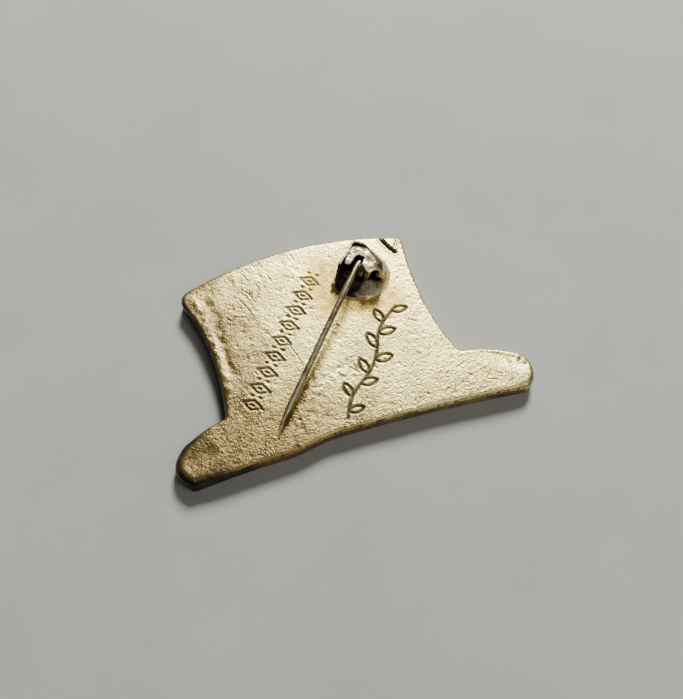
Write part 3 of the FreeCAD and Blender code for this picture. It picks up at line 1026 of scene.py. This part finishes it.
# %% [markdown]
# ## Sheet metal, bent from a flat blank
#
# The hinge is thin sheet: it was stamped flat and then bent. The meshes are made the same way. A
# blank is an outline filled with small triangles, given its thickness and a rounded cut edge, and a
# bending function then says where each point of the blank ends up. Blocks cut by booleans would
# have sharp dead corners here, and this way the lips stay soft and even.


# %% A blank and its bending
def quarter_points(starts, ends):
    """The points a quarter and three quarters of the way along each side."""
    pairs = np.stack([starts * 0.75 + ends * 0.25, starts * 0.25 + ends * 0.75], 1)
    return pairs.reshape(-1, starts.shape[1])


def soften(points, rounds=3):
    """Cuts the corners of a closed outline again and again until it is smooth."""
    for _ in range(rounds):
        points = quarter_points(points, np.roll(points, -1, axis=0))
    return points


def bent_sheet(name, outline, step, thick, edge_r, bending, material):
    """A closed sheet: bending(u, v, w) places a blank's points, w being height in the sheet."""
    outline = even_steps(outline, step)
    normal = outward(outline)
    turns = np.linspace(0, math.pi / 2, 4)
    upper = [(edge_r * (1 - math.sin(t)), thick / 2 - edge_r * (1 - math.cos(t))) for t in turns]
    lower = [(inset, -w) for inset, w in reversed(upper)]
    shell = Shell()
    flat = outline - normal * edge_r
    extra = grid_inside([flat], step, step * 0.6, 61)
    both = np.vstack([flat, extra])
    edge_share = []

    def face(w, turned):
        numbers = shell.row(bending(both[:, 0], both[:, 1], np.full(len(both), w)))
        away = from_outline(both, outline)
        edge_share.append(ease(1 - (away - edge_r) / 0.25) * 0.8)
        shell.fill(both, [numbers[:len(flat)]], extra, numbers, turned)
        return numbers[:len(flat)]

    above = face(upper[0][1], False)
    for inset, w in upper[1:] + lower[:-1]:
        ring = outline - normal * inset
        below = shell.row(bending(ring[:, 0], ring[:, 1], np.full(len(ring), w)))
        edge_share.append(np.ones(len(ring)))
        shell.bridge(above, below)
        above = below
    shell.bridge(above, face(lower[-1][1], True))
    return shell.piece(name, material, {"edge": np.concatenate(edge_share)})


def blacken(piece, amount):
    """Soot and painted shade on a piece, 0 to 1: amount(rearward, leftward, height) in hinge coordinates."""
    places = np.empty(len(piece.data.vertices) * 3)
    piece.data.vertices.foreach_get("co", places)
    x, y, z = places.reshape(-1, 3).T / MM
    rearward, leftward = to_hinge(x, y)
    soot = np.clip(amount(rearward, leftward, z), 0, 1)
    mark(piece.data, "soot", soot)
    print("  soot on", piece.name, "averages", round(float(soot.mean()), 2))


# %% [markdown]
# ### The base plate
#
# A round disc cut straight on the left, soldered flat to the badge. Its outline comes from the CAD
# piece. What lies under the hood is painted black, as the hood's shadow with some soot, and only
# its front right part is left clean.

# %% Make the base plate
PLATE_MIDDLE = (BACK_Z + BASE_TOP) / 2 - 0.015


def lay_flat(u, v, w):
    return np.column_stack([u, v, PLATE_MIDDLE + w + 0.012 * lumps(u, v, 1.2, 71) * (w > 0)])


def plate_shadow_and_soot(rearward, leftward, z):
    """Painted shadow of the hood, with some soot: black under it, clean towards the front on the right."""
    clean = ease((-0.5 - rearward - 0.25 * leftward) / 0.8) * ease((-0.9 - leftward) / 0.7)
    return 0.94 - 0.94 * clean + 0.12 * lumps(rearward, leftward, 0.5, 72)


PLATE_THICK = BASE_TOP - BACK_Z + 0.03
hinge_plate = bent_sheet("hinge_plate", BASE_OUTLINE, step=0.16, thick=PLATE_THICK, edge_r=0.12,
                         bending=lay_flat, material=PLATED_SHEET)
blacken(hinge_plate, plate_shadow_and_soot)
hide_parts("hinge_base")
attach(hinge_plate, "badge")

# %% [markdown]
# ### The cheek and rim
#
# On the left of the pin a strip stands upright. Its front edge slopes, it runs straight back, turns
# a tight corner and carries on round the rear as a thin proud rim. The blank is a long strip; the
# bending follows a path in plan.

# %% Bend the cheek
GAUGE = 0.25
CHEEK_PATH = np.array([
    (-2.62, 1.74), (-1.6, 1.77), (-0.2, 1.75), (1.2, 1.76), (1.95, 1.74), (2.22, 1.55),
    (2.33, 1.15), (2.30, 0.60), (2.19, 0.05), (2.06, -0.50), (1.90, -1.00),
])


def smooth_path(points, count):
    """An open path with its corners rounded, in even steps."""
    for _ in range(2):
        points = np.vstack([points[:1], quarter_points(points[:-1], points[1:]), points[-1:]])
    walked = walk(points)
    return pick(points, walked, np.linspace(0, walked[-1], count)), walked[-1]


CHEEK_LINE, CHEEK_LENGTH = smooth_path(CHEEK_PATH, 200)
CHEEK_HEADING = np.gradient(CHEEK_LINE, axis=0)
CHEEK_HEADING /= np.linalg.norm(CHEEK_HEADING, axis=1)[:, None]


def bend_cheek(u, v, w):
    """u runs along the path, v is height and w is towards the outside."""
    at = np.clip(u / CHEEK_LENGTH, 0, 1) * (len(CHEEK_LINE) - 1)
    steps = np.arange(len(CHEEK_LINE))
    place = [np.interp(at, steps, CHEEK_LINE[:, k]) for k in (0, 1)]
    heading = [np.interp(at, steps, CHEEK_HEADING[:, k]) for k in (0, 1)]
    lean = 0.04 * np.sin(u * 1.3) * v
    x = place[0] - heading[1] * (w + lean)
    y = place[1] + heading[0] * (w + lean)
    return from_hinge(np.column_stack([x, y, BASE_TOP - 0.05 + v]))


CHEEK_H = HOOD_TOP - BASE_TOP + 0.03
cheek_blank = soften(np.array([
    (0.0, 0.0), (CHEEK_LENGTH, 0.0), (CHEEK_LENGTH, CHEEK_H * 0.80), (CHEEK_LENGTH * 0.86, CHEEK_H * 0.90),
    (CHEEK_LENGTH * 0.70, CHEEK_H), (CHEEK_LENGTH * 0.45, CHEEK_H), (1.55, CHEEK_H), (1.25, CHEEK_H * 0.96),
    (0.75, CHEEK_H * 0.62), (0.28, CHEEK_H * 0.26), (0.0, CHEEK_H * 0.17),
]), 2)
hood_cheek = bent_sheet("hood_cheek", cheek_blank, step=0.09, thick=0.30, edge_r=0.05,
                        bending=bend_cheek, material=RIM_SHEET)
# Black but for the top edge: soot and painted shade on the cheek's sides.
blacken(hood_cheek, lambda rearward, leftward, z: 0.92 - 0.9 * ease((z - HOOD_TOP + 0.2) / 0.12))
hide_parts("hinge_hood")
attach(hood_cheek, "badge")

# %% [markdown]
# ### The flap that makes the hood
#
# The rest of the hood is one flap. It rises from the right edge of the base, rolls over the coil,
# and ends in a prong on the left, with a slot that lets the wire swing up. Behind, it turns down to
# the base, but on the rear left it stops short and dips, so a dark gap shows inside the rim. Seen
# from above the flap is a cap: flat in the middle, and rolled down at a distance from the middle
# that depends on the direction. That gives the bending function in a few lines.

# %% Bend the flap
ROOF_MIDDLE = HOOD_TOP - 0.03 - GAUGE / 2
CAP_ANGLES = np.radians([-180, -130, -110, -90, -65, -36, -12, 8, 40])
CAP_REACH = np.array([4.4, 3.75, 3.28, 3.12, 2.84, 2.52, 2.40, 2.38, 2.5])
CAP_ROLL = np.array([1.5, 1.45, 1.4, 1.38, 1.33, 1.2, 1.05, 0.95, 0.8])


def bend_flap(u, v, w):
    """Flat near the middle, then over a roll, then straight down."""
    angle = np.arctan2(v, u)
    out = np.hypot(u, v)
    reach = np.interp(angle, CAP_ANGLES, CAP_REACH)
    roll = np.interp(angle, CAP_ANGLES, CAP_ROLL)
    flat = reach - roll
    turn = np.clip((out - flat) / roll, 0, math.pi / 2)
    beyond = np.maximum(out - flat - roll * math.pi / 2, 0)
    radial = np.minimum(out, flat) + roll * np.sin(turn) + w * np.sin(turn)
    z = ROOF_MIDDLE - roll * (1 - np.cos(turn)) - beyond + w * np.cos(turn)
    z -= 0.14 * ease((u - 1.3) / 0.8) * ease((v + 0.35) / 0.9) * (turn < 1.2)
    # dents stay off the roof over the coil, which the wire nearly fills
    free = ease((out - 1.9) / 0.6)
    dent = 0.05 * lumps(u, v, 0.8, 81) + 0.03 * lumps(u, v, 0.4, 82)
    radial += free * dent * np.sin(turn)
    z += free * dent * np.cos(turn) * 0.7 - 0.02 * ease((v - 0.8) / 0.5)
    radial += 0.10 * np.exp(-((u + 0.1) / 0.35) ** 2) * ease((-v - 2.0) / 1.0)
    cos = np.cos(angle)
    sin = np.sin(angle)
    return from_hinge(np.column_stack([radial * cos, radial * sin, np.maximum(z, BASE_TOP - 0.04)]))


def skirt(angle):
    """The blank's reach where its edge meets the base, for a direction in radians."""
    reach = np.interp(angle, CAP_ANGLES, CAP_REACH)
    roll = np.interp(angle, CAP_ANGLES, CAP_ROLL)
    out = reach - roll + roll * math.pi / 2 + (ROOF_MIDDLE - roll - BASE_TOP) + 0.02
    return out * math.cos(angle), out * math.sin(angle)


flap_outline = np.array(
    [(0.64, -0.39), (0.50, -0.40), (0.1, -0.40), (-0.35, -0.42), (-0.62, -0.85), (-1.00, -1.25),
     (-1.12, -1.55), (-0.85, -1.85), (-0.35, -2.1), (-0.10, -2.7), (0.0, -3.5), (0.05, -4.3)]
    + [skirt(a) for a in np.radians([-89, -80, -65, -50, -36, -20, -5, 10])]
    + [(2.50, 0.42), (2.12, 0.52), (2.06, 0.9), (1.76, 1.38), (1.1, 1.53), (0.2, 1.53), (-0.6, 1.50),
       (-0.92, 1.48), (-1.06, 1.22), (-0.95, 0.80), (-0.6, 0.66), (-0.1, 0.60), (0.35, 0.56),
       (0.56, 0.48), (0.65, 0.25), (0.67, -0.1), (0.66, -0.35)]
)
hood_flap = bent_sheet("hood_flap", soften(flap_outline, 2), step=0.085, thick=GAUGE,
                       edge_r=GAUGE * 0.48, bending=bend_flap, material=SHEET)


def flap_darkening(rearward, leftward, z):
    """Darker towards the rear right, and painted shade in the crease along the cheek."""
    darker_rear = 0.62 * ease((0.75 * rearward - 0.5 * leftward - 0.7) / 1.5)
    darker_rear = darker_rear * ease(0.75 + 0.8 * lumps(rearward, leftward, 0.7, 84))
    crease = 0.45 * ease((leftward - 1.0) / 0.35) * ease((rearward + 0.3) / 0.9)
    return most(darker_rear, crease)


blacken(hood_flap, flap_darkening)
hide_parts("hinge_hood")
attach(hood_flap, "badge")

# %% [markdown]
# ## Solder round the base
#
# Solder wets both metals and freezes with a hollow slope, thick in one place and starved in
# another. It is built as rows round the base plate's outline: each row lies further out and lower,
# and the width and height wander.


# %% Flow the solder
def solder_ring():
    inner = even_steps(BASE_OUTLINE, 0.12)
    normal = outward(inner)
    x, y = inner.T
    width = 0.42 + 0.20 * lumps(x, y, 1.6, 91) + 0.08 * lumps(x, y, 0.5, 92)
    tall = 0.24 + 0.08 * lumps(x, y, 1.1, 93)
    shell = Shell()
    rows = []
    for share in (-0.35, -0.1, 0.0, 0.15, 0.3, 0.45, 0.6, 0.75, 0.9, 1.0):
        slope = np.clip(1 - max(share, 0), 0, 1) ** 1.7
        ring = inner + normal * (width * share)[:, None]
        bumps = 0.02 * lumps(ring[:, 0], ring[:, 1], 0.35, 94)
        z = BACK_Z + 0.01 + tall * slope + bumps * slope
        rows.append(shell.row(ring, z))
    for share in (1.0, -0.35):
        ring = inner + normal * (width * share)[:, None]
        rows.append(shell.row(ring, BACK_Z - 0.12))
    for upper, lower in zip(rows, rows[1:] + rows[:1]):
        shell.bridge(upper, lower)
    return shell.piece("solder_ring", SOLDER)


solder_ring_piece = solder_ring()
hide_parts("solder_fillet")
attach(solder_ring_piece, "badge")

# %% [markdown]
# ## The sprung wire
#
# The pin is one length of steel wire: a coil inside the hood that acts as its spring, a lead that
# comes out through the slot, and a straight arm that is ground to a point. It follows a path and
# its thickness follows a rule, which is what Geometry Nodes are good at. The script gives the path
# as a chain of points with a radius on each, and the tree turns the chain into a curve and sweeps a
# circle along it. Coil, lead and point come from the joint's place and the mount on the shaft.

# %% Work out the wire's path
COIL_GAP = 0.07
TURN_GAP = 0.05
COIL_R = COIL_CENTRE[2] - BASE_TOP - WIRE_R - COIL_GAP
COIL_TURNS = 2.25
COIL_PITCH = 2 * WIRE_R + TURN_GAP
TAPER = 2.6
POINT_R = 0.05


def wire_path():
    """Points of the wire's middle line in mm, from the coil's free end to the ground point."""
    turn = np.linspace(COIL_TURNS, 0, 130) * 2 * math.pi
    side = -turn / (2 * math.pi) * COIL_PITCH
    coil = from_hinge(np.column_stack([
        COIL_R * np.sin(turn), side, COIL_CENTRE[2] + COIL_R * np.cos(turn),
    ]))
    middle = np.array(SHAFT["pos_m"]) / MM
    along = np.array(SHAFT["axis"])
    half = SHAFT["dims"]["length_mm"] / 2
    rear = middle - along * half
    leave = coil[-1] - coil[-2]
    leave = leave / np.linalg.norm(leave)
    pull = np.linalg.norm(rear - coil[-1]) * 0.38
    t = np.linspace(0, 1, 46)[1:, None]
    b = coil[-1] + leave * pull * 0.35
    c = rear - along * pull
    lead = (1 - t) ** 3 * coil[-1] + 3 * (1 - t) ** 2 * t * b + 3 * (1 - t) * t * t * c + t ** 3 * rear
    s = np.linspace(0, 1, 130)[1:]
    length = 2 * half + TAPER
    shaft = rear + along * (s * length)[:, None]
    sideways = np.cross(along, (0, 0, 1))
    shaft += sideways * (0.02 * np.sin(s * 7) * np.sin(s * math.pi))[:, None]
    path = np.vstack([coil, lead, shaft])
    reached = np.concatenate([np.zeros(len(coil) + len(lead)), s * length])
    taper = np.clip((reached - 2 * half) / TAPER, 0, 1)
    radius = WIRE_R - (WIRE_R - POINT_R) * taper ** 0.9
    radius *= 1 - 0.02 * np.abs(np.sin(np.arange(len(path)) * 0.7))
    return path, radius


WIRE_LINE, WIRE_RADII = wire_path()
print("wire of", round(float(walk(WIRE_LINE)[-1]), 1), "mm")


# %% Sweep the wire with Geometry Nodes
class Maker(Nodes):
    """A Geometry Nodes tree with named inputs that turns a mesh into a piece."""

    def __init__(self, name, inputs):
        super().__init__(bpy.data.node_groups.new(name, "GeometryNodeTree"))
        self.sockets = {}
        for label, kind in [("Geometry", "NodeSocketGeometry")] + inputs:
            socket = self.tree.interface.new_socket(label, in_out="INPUT", socket_type=kind)
            self.sockets[label] = socket.identifier
        self.tree.interface.new_socket("Geometry", in_out="OUTPUT", socket_type="NodeSocketGeometry")
        self.given = self.node("NodeGroupInput").outputs

    def attribute(self, name):
        """A point attribute's value."""
        named = self.node("GeometryNodeInputNamedAttribute", {"data_type": "FLOAT"}, Name=name)
        return named.outputs["Attribute"]

    def random(self, kind, seed, first, low, high):
        """A random value of each point; its two limits start at input number first."""
        made = self.node("FunctionNodeRandomValue", {"data_type": kind}, Seed=seed)
        self.feed(made.inputs[first], low)
        self.feed(made.inputs[first + 1], high)
        return made

    def finish(self, geometry, material):
        """Makes the geometry real, paints it and sends it out."""
        real = self.node("GeometryNodeRealizeInstances", Geometry=geometry)
        paint = self.node("GeometryNodeSetMaterial", Geometry=real.outputs[0], Material=material)
        self.node("NodeGroupOutput", Geometry=paint.outputs[0])

    def run(self, name, mesh, values):
        """Runs the tree on a mesh, as a modifier, and gives the result as a plain mesh object."""
        source = put_in_scene(name + "_source", mesh)
        modifier = source.modifiers.new("nodes", "NODES")
        modifier.node_group = self.tree
        for label, value in values.items():
            modifier[self.sockets[label]] = value
        graph = bpy.context.evaluated_depsgraph_get()
        made = bpy.data.meshes.new_from_object(source.evaluated_get(graph))
        source.modifiers.clear()
        bpy.data.objects.remove(source)
        made.name = name
        thing = put_in_scene(name, made)
        report(thing)
        return thing


def sweeper(material):
    """A tree that sweeps a circle along a chain of points."""
    tree = Maker("sweep_" + material.name, [("Sides", "NodeSocketInt")])
    curve = tree.node("GeometryNodeMeshToCurve", Mesh=tree.given["Geometry"])
    circle = tree.node("GeometryNodeCurvePrimitiveCircle", Radius=1.0, Resolution=tree.given["Sides"])
    sweep = tree.node("GeometryNodeCurveToMesh", Curve=curve.outputs[0], Fill_Caps=True,
                      Profile_Curve=circle.outputs["Curve"], Scale=tree.attribute("wire_radius"))
    smooth = tree.node("GeometryNodeSetShadeSmooth", Geometry=sweep.outputs[0])
    tree.finish(smooth.outputs[0], material)
    return tree


def swept(name, line, radii, sides, material):
    """A round bar along a line, as thick at each point as its radius says."""
    chain = bpy.data.meshes.new(name + "_chain")
    chain.from_pydata((line * MM).tolist(), [(k, k + 1) for k in range(len(line) - 1)], [])
    mark(chain, "wire_radius", radii * MM)
    return sweeper(material).run(name, chain, {"Sides": sides})


sprung_wire = swept("sprung_wire", WIRE_LINE, WIRE_RADII, sides=20, material=STEEL)
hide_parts("pin_wire")
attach(sprung_wire, "pin")

# %% [markdown]
# The front lip of the hood's rolled side was left thick and coppery where the sheet was curled back
# on itself, and a little curl of bright sheet stands at the foot of the cheek. Both are swept with
# the same tree, the lip along a line of the bent flap.

# %% Curl the lip and the foot of the cheek
LIP_STEPS = 60
LIP_BLANK = np.array([
    (-0.50, -2.62), (-0.32, -2.9), (-0.2, -3.3), (-0.12, -3.8), (-0.06, -4.2), (-0.05, -4.6),
])
CURL_STEPS = 24
CURL_POINTS = from_hinge(np.array([
    (-2.3, 1.72, 2.62), (-2.62, 1.84, 2.74), (-2.86, 1.93, 2.58), (-2.9, 1.95, 2.36),
]))
LIP_LINE = bend_flap(*smooth_path(LIP_BLANK, LIP_STEPS)[0].T, np.full(LIP_STEPS, -0.08))
LIP_RADII = 0.33 - 0.11 * np.linspace(0, 1, LIP_STEPS)
LIP_RADII = LIP_RADII + 0.05 * lumps(np.arange(LIP_STEPS) * 0.06, 0, 0.5, 83)
hood_lip = swept("hood_lip", LIP_LINE, LIP_RADII, sides=16, material=COPPERY_SHEET)
blacken(hood_lip, lambda rearward, leftward, z: 0.5 * ease(0.2 + 1.5 * lumps(leftward, z, 0.6, 85)))
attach(hood_lip, "badge")
CURL_RADII = np.linspace(0.14, 0.20, CURL_STEPS)
CURL_LINE = smooth_path(CURL_POINTS, CURL_STEPS)[0]
cheek_curl = swept("cheek_curl", CURL_LINE, CURL_RADII, sides=12, material=PLATED_SHEET)
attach(cheek_curl, "badge")

# %% [markdown]
# ## Crumbs of burnt flux
#
# Soldering flux boils out of the joint and dries to amber crumbs beside it. Hundreds of tiny grains
# that follow a surface are a natural job for Geometry Nodes: points are scattered on a patch of the
# back, denser where an attribute says so, and a low stone shape is set on each with its own turn
# and size.


# %% Scatter the crumbs
FULL_TURN = 6.28


def scatterer(material):
    """A tree that sets little stones on a patch, denser where its attribute is higher."""
    tree = Maker("scatter_crumbs", [
        ("Per square metre", "NodeSocketFloat"), ("Smallest", "NodeSocketFloat"),
        ("Largest", "NodeSocketFloat"), ("Seed", "NodeSocketInt"),
    ])
    given = tree.given
    seed = given["Seed"]
    density = tree.math("MULTIPLY", tree.attribute("crumbs"), given["Per square metre"])
    points = tree.node("GeometryNodeDistributePointsOnFaces", Mesh=given["Geometry"], Density=density,
                       Seed=seed)
    stone = tree.node("GeometryNodeMeshIcoSphere", Radius=1.0, Subdivisions=1)
    size = tree.random("FLOAT", seed, 2, given["Smallest"], given["Largest"])
    turn = tree.random("FLOAT_VECTOR", seed, 0, (0, 0, 0), (FULL_TURN, FULL_TURN, FULL_TURN))
    put = tree.node("GeometryNodeInstanceOnPoints", Points=points.outputs["Points"],
                    Instance=stone.outputs["Mesh"], Rotation=turn.outputs[0], Scale=size.outputs[1])
    tree.finish(put.outputs[0], material)
    return tree


patch = Shell()
patch_rim = soften(from_hinge(np.array([
    (1.2, -5.6, 0), (2.2, -4.4, 0), (0.4, -3.5, 0), (-2.6, -3.4, 0), (-3.7, 0.0, 0), (-3.2, 3.0, 0),
    (0.0, 2.4, 0),
    (1.2, 3.3, 0), (-1.6, 4.8, 0), (-5.0, 3.6, 0), (-6.4, 0.4, 0), (-6.0, -4.2, 0), (-2.8, -6.2, 0),
]))[:, :2])
patch_rim = even_steps(patch_rim, 0.3)
patch_extra = grid_inside([patch_rim], 0.25, 0.15, 101)
patch_flat = np.vstack([patch_rim, patch_extra])
patch_numbers = patch.row(patch_flat, BACK_Z + relief(patch_flat))
patch.fill(patch_flat, [patch_numbers[:len(patch_rim)]], patch_extra, patch_numbers)
patch_mesh = bpy.data.meshes.new("crumb_patch")
patch_mesh.from_pydata((np.vstack(patch.points) * MM).tolist(), [], patch.faces)
patch_away = np.hypot(*to_hinge(*patch_flat.T))
patch_share = ease((6.2 - patch_away) / 2.4) * ease(0.55 + 0.9 * lumps(*patch_flat.T, 0.9, 102))
mark(patch_mesh, "crumbs", patch_share)
flux_crumbs = scatterer(FLUX).run("flux_crumbs", patch_mesh, {
    "Per square metre": 1.6e7, "Smallest": 0.02 * MM, "Largest": 0.08 * MM, "Seed": 5,
})
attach(flux_crumbs, "badge")

# %% [markdown]
# ## Floor, light and camera
#
# The badge lies on a plain pale sheet. One window light comes from behind on the right and low, so
# the satin back glows towards the upper right and the wire's shadow lies beside it. A wide, weak
# light in front softens the shadows on the sheet. The rest stays dim: metal needs those darks.

# %% Floor
def paper():
    tree = Finish("pale_paper")
    mottle = tree.spread(tree.noise(60, 4, 0.6), 0.3, 0.7)
    colour = tree.mix(mottle, (0.385, 0.395, 0.37), (0.415, 0.425, 0.40))
    return tree.finish(colour, 0.85, 0.0, tree.bump(tree.noise(2500, 3), 0.02))


floor_mesh = bpy.data.meshes.new("floor")
REACH = 2.0
SUNK = -0.00002
corners = [(-REACH, -REACH, SUNK), (REACH, -REACH, SUNK), (REACH, REACH, SUNK), (-REACH, REACH, SUNK)]
floor_mesh.from_pydata(corners, [], [(0, 1, 2, 3)])
floor_mesh.materials.append(paper())
floor = put_in_scene("floor", floor_mesh)
print("floor of", 2 * REACH, "m")


# %% Lights
def softbox(name, towards, distance, size, power, colour):
    """A square area light that faces the badge from a direction."""
    lamp = bpy.data.lights.new(name, "AREA")
    lamp.shape = "SQUARE"
    lamp.size = size
    lamp.energy = power
    lamp.color = colour
    thing = put_in_scene(name, lamp)
    direction = Vector(towards).normalized()
    thing.location = direction * distance
    thing.rotation_mode = "QUATERNION"
    thing.rotation_quaternion = direction.to_track_quat("Z", "Y")


softbox("window", towards=(0.64, 1.16, 1.0), distance=0.60, size=0.17, power=7.0, colour=(1.0, 0.995, 0.95))
softbox("room", towards=(0.70, -0.95, 1.35), distance=0.70, size=0.50, power=1.4, colour=(1.0, 0.98, 0.93))
world = bpy.data.worlds.new("room")
world.use_nodes = True
backdrop = world.node_tree.nodes["Background"]
backdrop.inputs["Color"].default_value = (0.86, 0.80, 0.74, 1)
backdrop.inputs["Strength"].default_value = 0.05
bpy.context.scene.world = world
print("two soft lights and a dim room")


# %% Camera
LENS = 43.88
SENSOR_WIDTH = 36
CAMERA_PLACE = Vector((-16.159, -40.669, 87.740))
CAMERA_RIGHT = Vector((0.94766, -0.31639, 0.04285))
CAMERA_UP = Vector((0.26652, 0.85782, 0.43944))
camera = put_in_scene("camera", bpy.data.cameras.new("camera"))
camera.data.lens = LENS
camera.data.sensor_width = SENSOR_WIDTH
camera.data.clip_start = 0.001
camera.data.clip_end = 10
turned = Matrix((CAMERA_RIGHT, CAMERA_UP, CAMERA_RIGHT.cross(CAMERA_UP))).transposed().to_4x4()
camera.matrix_world = Matrix.Translation(CAMERA_PLACE * MM) @ turned
bpy.context.scene.camera = camera
print("camera", round(camera.location.length / MM, 1), "mm away")
